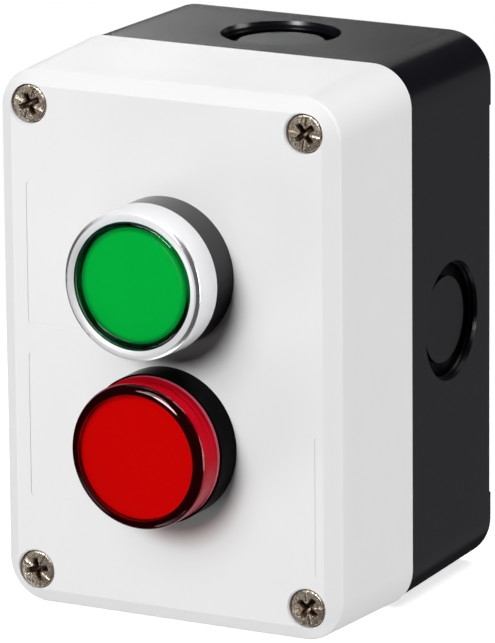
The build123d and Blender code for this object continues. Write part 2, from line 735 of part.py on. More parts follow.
def contact_spring():
    bridge_front = BRIDGE_REAR + STRIP_THICKNESS
    return in_block(
        coil(CONTACT_SPRING_RADIUS, CONTACT_SPRING_WIRE, bridge_front, WINDOW_FRONT, CONTACT_SPRING_TURNS)
    )


def pusher_return_spring():
    seat = BLOCK_END + BLOCK_WALL
    return in_block(coil(PUSHER_SPRING_RADIUS, PUSHER_SPRING_WIRE, seat, PUSHER_END, PUSHER_SPRING_TURNS))


def lamp_holder():
    """The middle block: a shell with screw terminals, and the lamp's socket reaching into the plunger."""
    holder_width = (-HALF_BLOCK, HALF_BLOCK)
    body = block(holder_width, (-HALF_BLOCK_HEIGHT, HALF_BLOCK_HEIGHT), (HOLDER_END, ADAPTER_END))
    inside = HALF_BLOCK - BLOCK_WALL
    inside_rear = HOLDER_END + BLOCK_WALL
    strip_rear = LAMP_STRIP_Z - STRIP_THICKNESS
    body -= block((-inside, inside), (-CAVITY_TOP, CAVITY_TOP), (inside_rear, LAMP_STRIP_Z + FIT_GAP))
    body += disc(SOCKET_RADIUS, ADAPTER_END, SOCKET_TOP)
    body -= disc(SOCKET_BORE, LAMP_CAP_BOTTOM - FIT_GAP, SOCKET_TOP)
    leg_width = (-LEG_HALF_WIDTH - LEG_GAP, LEG_HALF_WIDTH + LEG_GAP)
    for end in (-1, 1):
        leg_y = end * LAMP_LEG_Y
        leg_slot = (leg_y - LEG_THICKNESS / 2 - LEG_GAP, leg_y + LEG_THICKNESS / 2 + LEG_GAP)
        body -= block(leg_width, leg_slot, (LAMP_STRIP_Z, LAMP_CAP_BOTTOM))
        terminal_y = end * LAMP_TERMINAL_Y
        body -= disc(TERMINAL_HOLE_RADIUS, LAMP_STRIP_Z, ADAPTER_END - BLIND_HOLE_WEB, 0, terminal_y)
        body -= disc(DRIVER_HOLE_RADIUS, HOLDER_END, inside_rear, 0, terminal_y)
        body -= block(
            (-WIRE_HOLE_HALF_WIDTH, WIRE_HOLE_HALF_WIDTH),
            (end * CAVITY_TOP, end * HALF_BLOCK_HEIGHT),
            (strip_rear - WIRE_HOLE_HEIGHT, strip_rear),
        )
    return Pos(0, UNIT_Y, 0) * body


def lamp_terminals():
    leg = (LAMP_LEG_Y - LEG_THICKNESS / 2, LAMP_LEG_Y + LEG_THICKNESS / 2)
    strip_rear = LAMP_STRIP_Z - STRIP_THICKNESS
    strip = block(
        (-STRIP_HALF_WIDTH, STRIP_HALF_WIDTH), (leg[0], CAVITY_TOP - FIT_GAP), (strip_rear, LAMP_STRIP_Z)
    )
    strip += block((-LEG_HALF_WIDTH, LEG_HALF_WIDTH), leg, (LAMP_STRIP_Z, LAMP_CAP_BOTTOM - FIT_GAP))
    strip -= disc(TERMINAL_HOLE_RADIUS, strip_rear, LAMP_STRIP_Z, 0, LAMP_TERMINAL_Y)
    return Pos(0, UNIT_Y, 0) * mirrored_pair(strip)


def lamp_terminal_screws():
    head_front = LAMP_STRIP_Z - STRIP_THICKNESS - CLAMP_OPENING
    shank_length = ADAPTER_END - BLIND_HOLE_WEB - SHANK_END_GAP - head_front
    screw = Pos(0, LAMP_TERMINAL_Y, 0) * terminal_screw(head_front, shank_length)
    return Pos(0, UNIT_Y, 0) * mirrored_pair(screw)


def button_lamp_cap():
    cap = disc(LAMP_CAP_RADIUS, LAMP_CAP_BOTTOM, LAMP_CAP_TOP)
    cap = fillet(circles_at(cap, LAMP_CAP_RADIUS, LAMP_CAP_BOTTOM), LAMP_CAP_ROUND)
    return Pos(0, UNIT_Y, 0) * cap


def button_lamp_globe():
    globe = disc(LAMP_GLOBE_RADIUS, LAMP_CAP_TOP, LAMP_GLOBE_TOP)
    globe = fillet(circles_at(globe, LAMP_GLOBE_RADIUS, LAMP_GLOBE_TOP), LAMP_GLOBE_RADIUS - LAMP_GLOBE_FLAT)
    return Pos(0, UNIT_Y, 0) * globe


def pilot_housing():
    shell = turned(
        [
            (PILOT_LOWER_BORE, PILOT_BARREL_END),
            (BARREL_RADIUS, PILOT_BARREL_END),
            (BARREL_RADIUS, 0),
            (PILOT_COLLAR_RADIUS, 0),
            (PILOT_COLLAR_RADIUS, PILOT_COLLAR_TOP),
            (PILOT_NECK_RADIUS, PILOT_COLLAR_TOP),
            (PILOT_NECK_RADIUS, PILOT_NECK_TOP),
            (PILOT_NECK_BORE, PILOT_NECK_TOP),
            (PILOT_NECK_BORE, PILOT_COLLAR_TOP),
            (PILOT_UPPER_BORE, PILOT_COLLAR_TOP - PILOT_BORE_TAPER),
            (PILOT_UPPER_BORE, BOARD_Z),
            (PILOT_LOWER_BORE, BOARD_Z),
        ]
    )
    key = barrel_key() - disc(PILOT_UPPER_BORE, -FRONT_WALL, 0)
    return Pos(0, -UNIT_Y, 0) * (shell - gasket_groove() + key)


def pilot_lens():
    return cap_lens(
        PILOT_LENS_REAR_RADIUS,
        PILOT_LENS_FRONT_RADIUS,
        PILOT_LENS_BORE,
        PILOT_COLLAR_TOP + FIT_GAP,
        PILOT_LENS_FRONT,
        PILOT_LENS_THICKNESS,
        PILOT_LENS_ROUND,
        -UNIT_Y,
    )


def pilot_diffuser():
    front = PILOT_LENS_FRONT - PILOT_LENS_THICKNESS - FIT_GAP
    return diffuser_cup(PILOT_DIFFUSER_RADIUS, PILOT_NECK_TOP + FIT_GAP, front, -UNIT_Y)


def pilot_led_board():
    bottom = BOARD_Z + FIT_GAP
    return disc(BOARD_RADIUS, bottom, bottom + BOARD_THICKNESS, 0, -UNIT_Y)


def pilot_leds():
    """Domed emitters in a ring round a middle one, standing on the board."""
    bottom = BOARD_Z + 2 * FIT_GAP + BOARD_THICKNESS
    led = disc(LED_RADIUS, bottom, bottom + LED_HEIGHT)
    led = fillet(circles_at(led, LED_RADIUS, bottom + LED_HEIGHT), LED_RADIUS - LED_FLAT)
    leds = [led]
    for index in range(LED_COUNT):
        leds.append(Rot(0, 0, 360 * index / LED_COUNT) * Pos(LED_RING_RADIUS, 0, 0) * led)
    return Pos(0, -UNIT_Y, 0) * together(leds)


def pilot_rear_cover():
    """The plug that closes the pilot's barrel, with one pocket on each side for a terminal."""
    cover_front = PILOT_BARREL_END - FIT_GAP
    body = disc(COVER_RADIUS, COVER_END, cover_front) + disc(PLUG_RADIUS, cover_front, PLUG_TOP)
    for side in (-1, 1):
        body -= block(
            (side * COVER_POCKET_INNER, side * COVER_POCKET_OUTER),
            (-COVER_POCKET_HALF_HEIGHT, COVER_POCKET_HALF_HEIGHT),
            (COVER_END, COVER_POCKET_FLOOR),
        )
        leg_x = side * PILOT_LEG_X
        leg_slot = (leg_x - LEG_THICKNESS / 2 - LEG_GAP, leg_x + LEG_THICKNESS / 2 + LEG_GAP)
        leg_height = (-LEG_HALF_WIDTH - LEG_GAP, LEG_HALF_WIDTH + LEG_GAP)
        body -= block(leg_slot, leg_height, (COVER_POCKET_FLOOR, PLUG_TOP))
        hole_end = PILOT_BARREL_END - BLIND_HOLE_WEB
        body -= disc(TERMINAL_HOLE_RADIUS, COVER_POCKET_FLOOR, hole_end, side * PILOT_TERMINAL_X, 0)
    return Pos(0, -UNIT_Y, 0) * body


def pilot_terminals():
    """Two strips from the pockets up to the back of the board."""
    strip_front = COVER_POCKET_FLOOR - FIT_GAP
    strip_rear = strip_front - STRIP_THICKNESS
    pieces = []
    leg_height = (-LEG_HALF_WIDTH, LEG_HALF_WIDTH)
    for side in (-1, 1):
        leg_inner = side * (PILOT_LEG_X - LEG_THICKNESS / 2)
        leg_outer = side * (PILOT_LEG_X + LEG_THICKNESS / 2)
        strip_end = side * (COVER_POCKET_OUTER - LEG_GAP)
        strip_height = (-PILOT_STRIP_HALF_WIDTH, PILOT_STRIP_HALF_WIDTH)
        strip = block((leg_inner, strip_end), strip_height, (strip_rear, strip_front))
        strip += block((leg_inner, leg_outer), leg_height, (strip_front, BOARD_Z - FIT_GAP))
        strip -= disc(TERMINAL_HOLE_RADIUS, strip_rear, strip_front, side * PILOT_TERMINAL_X, 0)
        pieces.append(strip)
    return Pos(0, -UNIT_Y, 0) * together(pieces)


def pilot_terminal_screws():
    head_front = COVER_POCKET_FLOOR - FIT_GAP - STRIP_THICKNESS - CLAMP_OPENING
    shank_length = PILOT_BARREL_END - BLIND_HOLE_WEB - SHANK_END_GAP - head_front
    screw = terminal_screw(head_front, shank_length)
    pieces = [Pos(side * PILOT_TERMINAL_X, 0, 0) * screw for side in (-1, 1)]
    return Pos(0, -UNIT_Y, 0) * together(pieces)


NODES = {
    "base_box": base_box,
    "lid": lid,
    "lid_screws": lid_screws,
    "lid_gasket": lid_gasket,
    "button_housing": button_housing,
    "button_bezel": button_bezel,
    "button_gasket": lambda: unit_gasket(UNIT_Y),
    "button_lock_nut": lambda: lock_nut(UNIT_Y),
    "button_lens": button_lens,
    "button_diffuser": button_diffuser,
    "button_plunger": button_plunger,
    "button_return_spring": button_return_spring,
    "contact_adapter": contact_adapter,
    "adapter_clamp_screw": adapter_clamp_screw,
    "contact_block_case": contact_block_case,
    "contact_block_cover": contact_block_cover,
    "contact_pusher": contact_pusher,
    "contact_bridge": contact_bridge,
    "contact_spring": contact_spring,
    "pusher_return_spring": pusher_return_spring,
    "fixed_contacts": fixed_contacts,
    "contact_terminal_clamps": contact_terminal_clamps,
    "contact_terminal_screws": contact_terminal_screws,
    "lamp_holder": lamp_holder,
    "lamp_terminals": lamp_terminals,
    "lamp_terminal_screws": lamp_terminal_screws,
    "button_lamp_cap": button_lamp_cap,
    "button_lamp_globe": button_lamp_globe,
    "pilot_housing": pilot_housing,
    "pilot_gasket": lambda: unit_gasket(-UNIT_Y),
    "pilot_lock_nut": lambda: lock_nut(-UNIT_Y),
    "pilot_lens": pilot_lens,
    "pilot_diffuser": pilot_diffuser,
    "pilot_led_board": pilot_led_board,
    "pilot_leds": pilot_leds,
    "pilot_rear_cover": pilot_rear_cover,
    "pilot_terminals": pilot_terminals,
    "pilot_terminal_screws": pilot_terminal_screws,
}

STANDING = Pos(0, -DEPTH, 0) * Rot(90, 0, 0)

os.makedirs("parts", exist_ok=True)
for name, make in NODES.items():
    piece = STANDING * make()
    piece.label = name
    export_step(piece, f"parts/{name}.step")
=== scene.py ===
import json
import math

import bmesh
import bpy
from mathutils import Matrix, Vector


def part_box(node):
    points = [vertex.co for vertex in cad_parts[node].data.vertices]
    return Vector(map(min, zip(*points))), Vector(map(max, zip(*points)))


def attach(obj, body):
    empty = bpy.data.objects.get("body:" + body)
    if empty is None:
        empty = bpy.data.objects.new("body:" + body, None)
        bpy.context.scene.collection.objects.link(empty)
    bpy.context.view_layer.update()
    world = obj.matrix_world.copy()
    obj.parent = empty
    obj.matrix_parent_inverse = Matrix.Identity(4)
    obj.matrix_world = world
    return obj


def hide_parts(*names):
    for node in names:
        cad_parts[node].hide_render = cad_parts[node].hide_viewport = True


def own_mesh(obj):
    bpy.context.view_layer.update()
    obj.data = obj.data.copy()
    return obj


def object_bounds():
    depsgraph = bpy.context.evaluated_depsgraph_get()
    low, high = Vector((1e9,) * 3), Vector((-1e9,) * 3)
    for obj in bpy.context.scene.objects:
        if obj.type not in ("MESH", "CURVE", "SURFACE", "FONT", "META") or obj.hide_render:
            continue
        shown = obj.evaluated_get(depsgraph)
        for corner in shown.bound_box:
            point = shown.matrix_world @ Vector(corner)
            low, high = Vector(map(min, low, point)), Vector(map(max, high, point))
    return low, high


# Looks for a two-hole control station. Metres, +Z up, the lid's face towards -Y. The outlines of turned
# pieces are in millimetres, as a radius from the unit's axis and a reach out from the lid's face.

MM = 0.001
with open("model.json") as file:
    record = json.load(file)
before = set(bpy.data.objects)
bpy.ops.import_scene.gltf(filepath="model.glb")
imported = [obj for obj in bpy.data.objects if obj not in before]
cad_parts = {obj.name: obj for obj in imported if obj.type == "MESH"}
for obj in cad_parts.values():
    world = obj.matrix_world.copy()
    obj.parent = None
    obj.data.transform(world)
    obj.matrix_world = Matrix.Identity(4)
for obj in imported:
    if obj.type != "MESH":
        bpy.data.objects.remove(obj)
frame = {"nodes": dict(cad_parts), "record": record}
cad_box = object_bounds()


def size(node):
    low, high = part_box(node)
    return high - low


def middle(node):
    low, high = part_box(node)
    return (low + high) / 2


def mount(name):
    """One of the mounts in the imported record."""
    return next(entry for entry in frame["record"]["mounts"] if entry["name"] == name)


FACE_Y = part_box("button_gasket")[1].y
BUTTON_Z = middle("button_lens").z
PILOT_Z = middle("pilot_lens").z


def radius_of(node):
    """The outer radius of a round node, in millimetres."""
    return size(node).x / 2 / MM


def front_of(node):
    """How far a node reaches out from the lid's face, in millimetres."""
    return (FACE_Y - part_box(node)[0].y) / MM


def rear_of(node):
    """Where a node starts, out from the lid's face, in millimetres."""
    return (FACE_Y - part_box(node)[1].y) / MM


# Sizes that both a mesh and its material need, in millimetres
BEZEL_OPENING = radius_of("button_lens") + 0.13
GREEN_DISC_RADIUS = radius_of("button_diffuser")
RED_CAP_BORE = 11.95


# ---------------------------------------------------------------- node graphs


class Graph:
    """A node tree that is built with one call per node. All places and lengths in it are in metres."""

    def __init__(self, tree):
        self.tree = tree
        tree.nodes.clear()

    def node(self, kind, inputs=None, **settings):
        made = self.tree.nodes.new(kind)
        for name, value in settings.items():
            setattr(made, name, value)
        for name, value in (inputs or {}).items():
            self.feed(made.inputs[name], value)
        return made

    def feed(self, socket, value):
        if isinstance(value, bpy.types.NodeSocket):
            self.tree.links.new(value, socket)
        else:
            socket.default_value = value

    def math(self, operation, first, second=0.0):
        return self.node("ShaderNodeMath", {0: first, 1: second}, operation=operation).outputs[0]

    def both(self, first, second):
        """High only where both values are high."""
        return self.math("MULTIPLY", first, second)

    def ramp(self, value, low, high, out_low=0.0, out_high=1.0):
        """A value that eases from out_low to out_high as the input goes from low to high."""
        return self.node("ShaderNodeMapRange", {
            "Value": value,
            "From Min": low,
            "From Max": high,
            "To Min": out_low,
            "To Max": out_high,
        }, interpolation_type="SMOOTHSTEP").outputs["Result"]

    def value_mix(self, share, first, second):
        """A mix of two numbers; a Mix node has sockets for every kind of data, picked here by number."""
        return self.node("ShaderNodeMix", {0: share, 2: first, 3: second}, data_type="FLOAT").outputs[0]

    def colour_mix(self, share, first, second):
        return self.node("ShaderNodeMix", {0: share, 6: first, 7: second}, data_type="RGBA").outputs[2]

    def shader_mix(self, share, first, second):
        return self.node("ShaderNodeMixShader", {0: share, 1: first, 2: second}).outputs[0]

    def place(self):
        return self.node("ShaderNodeTexCoord").outputs["Object"]

    def axes(self):
        """The place as its X, Y and Z."""
        return self.node("ShaderNodeSeparateXYZ", {"Vector": self.place()}).outputs

    def pair(self, x, y):
        return self.node("ShaderNodeCombineXYZ", {"X": x, "Y": y}).outputs[0]

    def length(self, vector):
        return self.node("ShaderNodeVectorMath", {0: vector}, operation="LENGTH").outputs["Value"]

    def rise(self, height):
        """How far above this height a point is."""
        return self.math("SUBTRACT", self.axes()["Z"], height)

    def reach(self):
        """How far out from the lid's face a point is."""
        return self.math("SUBTRACT", FACE_Y, self.axes()["Y"])

    def radius(self, axis_z):
        """Distance from an axis along Y at this height."""
        return self.length(self.pair(self.axes()["X"], self.rise(axis_z)))

    def facing(self, axis_z, degrees):
        """1 on the side of a unit that lies at this angle and -1 opposite; 0 degrees is right, 90 is up."""
        off_axis = self.pair(self.axes()["X"], self.rise(axis_z))
        unit = self.node("ShaderNodeVectorMath", {0: off_axis}, operation="NORMALIZE").outputs["Vector"]
        towards = (math.cos(math.radians(degrees)), math.sin(math.radians(degrees)), 0)
        made = self.node("ShaderNodeVectorMath", {0: unit, 1: towards}, operation="DOT_PRODUCT")
        return made.outputs["Value"]

    def noise(self, grain, detail=2.0, roughness=0.5, vector=None):
        """Uneven values from 0 to 1 that vary over about the length of the grain."""
        return self.node("ShaderNodeTexNoise", {
            "Vector": vector or self.place(),
            "Scale": 1 / grain,
            "Detail": detail,
            "Roughness": roughness,
        }).outputs["Fac"]

    def bump(self, height, depth):
        return self.node("ShaderNodeBump", {"Height": height, "Distance": depth, "Strength": 1.0}).outputs[0]

    def surface(self, inputs):
        return self.node("ShaderNodeBsdfPrincipled", inputs).outputs[0]

    def glow(self, colour, strength):
        return self.node("ShaderNodeEmission", {"Color": colour, "Strength": strength}).outputs[0]


def srgb(red, green, blue):
    """A linear colour from display values of 0 to 255."""
    def linear(value):
        value /= 255
        return value / 12.92 if value <= 0.04045 else ((value + 0.055) / 1.055) ** 2.4
    return (linear(red), linear(green), linear(blue), 1.0)


MATERIALS = {}


def material(name, build, *values, **options):
    """Makes a material from a function that builds its surface, and keeps it under its name."""
    made = bpy.data.materials.new(name)
    made.use_nodes = True
    graph = Graph(made.node_tree)
    surface = build(graph, *values, **options)
    graph.node("ShaderNodeOutputMaterial", {"Surface": surface})
    MATERIALS[name] = made


# ------------------------------------------------------------------ materials

ACRYLIC_IOR = 1.49
BLACK = (0.0, 0.0, 0.0, 1.0)
# Noise spread evenly over most of its values, and noise cut to patches with soft edges
EVEN = (0.3, 0.7)
PATCHES = (0.38, 0.62)


def moulded_plastic(graph, colour, roughness, depth=0.004 * MM, specular=0.5, gloss_spread=0.08):
    """Moulded plastic: a fine spark-eroded grain, faint flow marks and uneven gloss."""
    grain = 0.35 * MM
    flow_length = 18 * MM
    flow_darkening = 0.03
    uneven = roughness * gloss_spread
    flow = graph.noise(flow_length)
    return graph.surface({
        "Base Color": graph.colour_mix(graph.ramp(flow, 0.0, 1.0, 0.0, flow_darkening), colour, BLACK),
        "Roughness": graph.ramp(flow, *EVEN, roughness - uneven, roughness + uneven),
        "Specular IOR Level": specular,
        "Normal": graph.bump(graph.noise(grain, detail=3, roughness=0.6), depth),
    })


def machined_metal(graph, colour, roughness):
    """Plated or turned metal with fine marks, stains and uneven gloss."""
    grain = 0.12 * MM
    depth = 0.0015 * MM
    stain_length = 2.5 * MM
    stain_level = 0.8
    glossier = roughness * 0.8
    rougher = roughness * 1.25
    marks = graph.noise(grain, detail=4, roughness=0.7)
    stained = tuple(channel * stain_level for channel in colour[:3]) + (1.0,)
    return graph.surface({
        "Base Color": graph.colour_mix(graph.noise(stain_length, detail=3), stained, colour),
        "Metallic": 1.0,
        "Roughness": graph.ramp(marks, *EVEN, glossier, rougher),
        "Normal": graph.bump(marks, depth),
    })


def screw_finish(graph):
    """Aged nickel plating: mottled on the head, with painted shade inside the recess."""
    mottle_grain = 0.45 * MM
    mark_grain = 0.25 * MM
    mark_depth = 0.05 * MM
    worn = srgb(112, 97, 84)
    bright = srgb(250, 234, 214)
    # Painted shade: the plating colour darkens down in the cross recess.
    recess_painted_shade = srgb(104, 88, 72)
    head_top = front_of("lid_screws") * MM
    recess_start = head_top - 0.25 * MM
    recess_full = head_top - 0.75 * MM
    sunk_shade = graph.ramp(graph.reach(), recess_start, recess_full)
    mottle = graph.ramp(graph.noise(mottle_grain, detail=4, roughness=0.7), *PATCHES)
    return graph.surface({
        "Base Color": graph.colour_mix(sunk_shade, graph.colour_mix(mottle, worn, bright), recess_painted_shade),
        "Metallic": 1.0,
        "Roughness": graph.ramp(mottle, 0.0, 1.0, 0.42, 0.26),
        "Normal": graph.bump(graph.noise(mark_grain, detail=3, roughness=0.6), mark_depth),
    })


def bezel_finish(graph):
    """Satin metal with turning marks, polished at its outer left and right, with painted dark green shade in
    its opening.
    """
    mark_grain = 0.05 * MM
    mark_depth = 0.0008 * MM
    silver = srgb(232, 232, 234)
    # Painted shade, tinted green, on the wall of the opening behind the lip.
    opening_painted_shade = srgb(20, 40, 26)
    front = front_of("button_bezel") * MM
    edge = (radius_of("button_bezel") - 0.95) * MM
    edge_fade = 0.1 * MM
    edge_rear = front - 0.75 * MM
    edge_front = front - 0.55 * MM
    opening = (BEZEL_OPENING + 0.03) * MM
    opening_fade = 0.05 * MM
    lip_front = front - 0.1 * MM
    lip_rear = front - 0.2 * MM
    radius = graph.radius(BUTTON_Z)
    reach = graph.reach()
    outer = graph.ramp(radius, edge - edge_fade, edge + edge_fade)
    forward = graph.ramp(reach, edge_rear, edge_front)
    sideways = graph.ramp(graph.math("ABSOLUTE", graph.facing(BUTTON_Z, 178)), 0.3, 0.9)
    polished = graph.both(graph.both(outer, forward), sideways)
    satin_metallic = graph.ramp(graph.facing(BUTTON_Z, 80), 0.2, 0.8, 0.4, 0.08)
    inward = graph.ramp(radius, opening + opening_fade, opening)
    opening_shade = graph.both(inward, graph.ramp(reach, lip_front, lip_rear))
    marks = graph.noise(mark_grain, detail=3, vector=graph.pair(radius, reach))
    return graph.surface({
        "Base Color": graph.colour_mix(opening_shade, silver, opening_painted_shade),
        "Metallic": graph.value_mix(polished, satin_metallic, 0.9),
        "Roughness": graph.ramp(polished, 0.0, 1.0, 0.36, 0.2),
        "Normal": graph.bump(marks, mark_depth),
    })


def base_finish(graph):
    """Black plastic, dull, with painted shade down in the grooves round the knockout discs: darker colour
    and less shine.
    """
    plain_colour = srgb(13, 13, 19)
    # Painted shade: near-black colour and little shine down in the knockout grooves.
    groove_painted_shade = srgb(2, 2, 2)
    draft = 0.24 * MM
    groove_start = 1.65 * MM
    groove_full = 1.8 * MM
    entry = mount("cable_entry_top")
    entry_edge = (entry["dims"]["r_mm"] - 0.05) * MM
    entry_fade = 0.1 * MM
    place = graph.axes()
    along = graph.math("SUBTRACT", place["Y"], entry["pos_m"][1])
    groove_shades = []
    for axis, other in (("X", "Z"), ("Z", "X")):
        wall = getattr(size("base_box"), axis.lower()) / 2 - draft
        depth = graph.math("SUBTRACT", wall, graph.math("ABSOLUTE", place[axis]))
        radius = graph.length(graph.pair(along, place[other]))
        sunk_shade = graph.ramp(depth, groove_start, groove_full)
        inside = graph.ramp(radius, entry_edge, entry_edge - entry_fade)
        groove_shades.append(graph.both(sunk_shade, inside))
    groove_shade = graph.math("MAXIMUM", *groove_shades)
    colour = graph.colour_mix(groove_shade, plain_colour, groove_painted_shade)
    shine = graph.value_mix(groove_shade, 0.5, 0.05)
    return moulded_plastic(graph, colour, 0.255, specular=shine, gloss_spread=0.04)


def collar_finish(graph):
    """Black plastic; the button's collar shines towards its top and the pilot light's is dull."""
    pilot_shine = 0.01
    button_shine = graph.ramp(graph.facing(BUTTON_Z, 88), -0.25, 0.95, 0.02, 0.58)
    of_button = graph.ramp(graph.rise(0.0), -1 * MM, 1 * MM)
    shine = graph.value_mix(of_button, pilot_shine, button_shine)
    return moulded_plastic(graph, srgb(8, 8, 8), 0.2, depth=0.002 * MM, specular=shine)


def see_through(graph, surface, tint):
    """Lets lamps and soft light pass a clear piece straight, without the cost and noise of bending them."""
    path = graph.node("ShaderNodeLightPath").outputs
    straight = graph.math("MAXIMUM", path["Is Shadow Ray"], path["Is Diffuse Ray"])
    clear = graph.node("ShaderNodeBsdfTransparent", {"Color": tint}).outputs[0]
    return graph.shader_mix(straight, surface, clear)


def green_cap_finish(graph):
    """Clear green plastic whose outer wall is painted near-black green as painted shade."""
    tint = (0.01, 0.8, 0.38, 1)
    # Painted shade: the cap's outer wall is opaque dark green instead of clear.
    wall_painted_shade = (0.0, 0.02, 0.004, 1)
    wall_tint = (0.0, 0.1, 0.02, 1)
    outer = radius_of("button_lens") * MM
    front = front_of("button_lens") * MM
    outside = graph.ramp(graph.radius(BUTTON_Z), outer - 0.25 * MM, outer - 0.15 * MM)
    behind = graph.ramp(graph.reach(), front - 0.2 * MM, front - 0.4 * MM)
    wall = graph.both(outside, behind)
    surface = graph.surface({
        "Base Color": graph.colour_mix(wall, tint, wall_painted_shade),
        "Roughness": 0.03,
        "IOR": ACRYLIC_IOR,
        "Transmission Weight": graph.ramp(wall, 0.0, 1.0, 1.0, 0.0),
    })
    return see_through(graph, surface, graph.colour_mix(wall, tint, wall_tint))


def green_disc_finish(graph):
    """Milky green plastic with painted shade near its edge, where the wall of the cap would shade it."""
    milky = (0.1, 0.78, 0.55, 1)
    shade = (0.0, 0.1, 0.07, 1)
    shade_width = 1.3 * MM
    edge = GREEN_DISC_RADIUS * MM
    # Painted shade, darker towards the disc's edge.
    shaded = graph.ramp(graph.radius(BUTTON_Z), edge - shade_width, edge, 0.0, 0.75)
    return moulded_plastic(graph, graph.colour_mix(shaded, milky, shade), 0.5, specular=0.0)


def red_wall_colour(graph):
    """Crimson, partly the plastic's own red and partly painted light: brighter towards the top, with painted
    dark shade streaks and a painted pale highlight line along the rear edge.
    """
    low_colour = (0.28, 0.02, 0.035, 1)
    # Painted light: the wall's colour brightens towards the top.
    painted_top_light = (0.6, 0.004, 0.014, 1)
    # Painted shade: dark streaks in the wall's upper part.
    streak_painted_shade = (0.12, 0.0, 0.002, 1)
    # Painted highlight: a pale line along the rear edge.
    rear_painted_highlight = (0.6, 0.12, 0.17, 1)
    streak_grain = 1.1 * MM
    streak_turn = 1.2 * MM
    line_front = (rear_of("pilot_lens") + 1.0) * MM
    line_full = (rear_of("pilot_lens") + 0.75) * MM
    reach = graph.reach()
    rise = graph.rise(PILOT_Z)
    crimson = graph.colour_mix(graph.ramp(rise, -9 * MM, 8 * MM), low_colour, painted_top_light)
    around = graph.math("MULTIPLY", graph.facing(PILOT_Z, 0), streak_turn)
    shade_streaks = graph.ramp(graph.noise(streak_grain, vector=graph.pair(reach, around)), *PATCHES)
    streak_shade_share = graph.both(shade_streaks, graph.ramp(rise, 2 * MM, 9 * MM, 0.1, 0.45))
    streaked = graph.colour_mix(streak_shade_share, crimson, streak_painted_shade)
    return graph.colour_mix(graph.ramp(reach, line_front, line_full), streaked, rear_painted_highlight)


def red_cap_gloss(graph, wall):
    """Shine of the red cap's solid parts: the rim at its upper right and below, the wall low down."""
    wall_gloss = graph.ramp(graph.rise(PILOT_Z), 1 * MM, -9 * MM, 0.0, 0.12)
    upper_gloss = graph.ramp(graph.facing(PILOT_Z, 50), -0.2, 0.7, 0.0, 0.6)
    lower_gloss = graph.ramp(graph.facing(PILOT_Z, -105), 0.5, 0.95, 0.0, 0.12)
    return graph.value_mix(wall, graph.math("ADD", upper_gloss, lower_gloss), wall_gloss)


def red_cap_finish(graph):
    """Clear red plastic in the middle, a deep rim round it painted near-black as painted shade, and a side
    wall painted crimson, partly as painted light.
    """
    tint = (0.89, 0.02, 0.02, 1)
    # Painted shade: the rim's colour is near-black instead of clear.
    rim_painted_shade = (0.011, 0.0002, 0.0005, 1)
    rim_tint = (0.3, 0.01, 0.01, 1)
    outer = radius_of("pilot_lens") * MM
    front = front_of("pilot_lens") * MM
    bore = RED_CAP_BORE * MM
    radius = graph.radius(PILOT_Z)
    reach = graph.reach()
    inside = graph.ramp(radius, bore - 0.03 * MM, bore - 0.11 * MM)
    central = graph.ramp(radius, bore + 0.2 * MM, bore - 0.65 * MM)
    on_face = graph.ramp(reach, front - 0.5 * MM, front - 0.3 * MM)
    window = graph.math("MAXIMUM", inside, graph.both(central, on_face))
    outside = graph.ramp(radius, outer - 0.95 * MM, outer - 0.75 * MM)
    behind = graph.ramp(reach, front - 0.9 * MM, front - 1.4 * MM)
    wall = graph.both(outside, behind)
    solid_colour = graph.colour_mix(wall, rim_painted_shade, red_wall_colour(graph))
    surface = graph.surface({
        "Base Color": graph.colour_mix(window, solid_colour, tint),
        "Roughness": 0.06,
        "IOR": ACRYLIC_IOR,
        "Specular IOR Level": red_cap_gloss(graph, wall),
        "Specular Tint": (1.0, 0.72, 0.72, 1),
        "Transmission Weight": window,
    })
    return see_through(graph, surface, graph.colour_mix(window, rim_tint, tint))


material("lid_white", moulded_plastic, srgb(232, 232, 232), 0.5, specular=0.4)
material("base_black", base_finish)
material("screw_nickel", screw_finish)
material("seal_rubber", moulded_plastic, srgb(24, 24, 24), 0.75)
material("collar_black", collar_finish)
material("bezel_metal", bezel_finish)
material("lens_green", green_cap_finish)
material("lens_red", red_cap_finish)
material("diffuser_green", green_disc_finish)
material("diffuser_red", moulded_plastic, (0.8, 0.1, 0.1, 1), 0.5, specular=0.0)
material("nut_black", moulded_plastic, srgb(30, 30, 30), 0.45)
material("plunger_white", moulded_plastic, srgb(215, 215, 210), 0.45)
material("spring_steel", machined_metal, srgb(190, 190, 195), 0.25)
material("adapter_grey", moulded_plastic, srgb(90, 92, 95), 0.5)
material("block_green", moulded_plastic, srgb(40, 130, 80), 0.5)
material("block_cover", moulded_plastic, srgb(60, 62, 64), 0.5)
material("pusher_nylon", moulded_plastic, srgb(225, 222, 210), 0.45)
material("contact_brass", machined_metal, srgb(214, 178, 100), 0.25)
material("terminal_steel", machined_metal, srgb(190, 188, 180), 0.3)
material("holder_grey", moulded_plastic, srgb(120, 122, 124), 0.5)
material("lamp_brass", machined_metal, srgb(210, 190, 140), 0.25)
material("lamp_globe", moulded_plastic, srgb(235, 235, 230), 0.3)
material("board_green", moulded_plastic, srgb(20, 90, 50), 0.4)
material("led_red", moulded_plastic, srgb(200, 30, 30), 0.2)

for node in frame["nodes"].values():
    for slot in node.material_slots:
        slot.material = MATERIALS[slot.material.name.split(".")[0]]


# ------------------------------------------------------------------ mesh tools

TURNED_SEGMENTS = 192
ARC_STEPS = 8
ARC_STEPS_PER_MM = 12
ON_AXIS = 1e-6


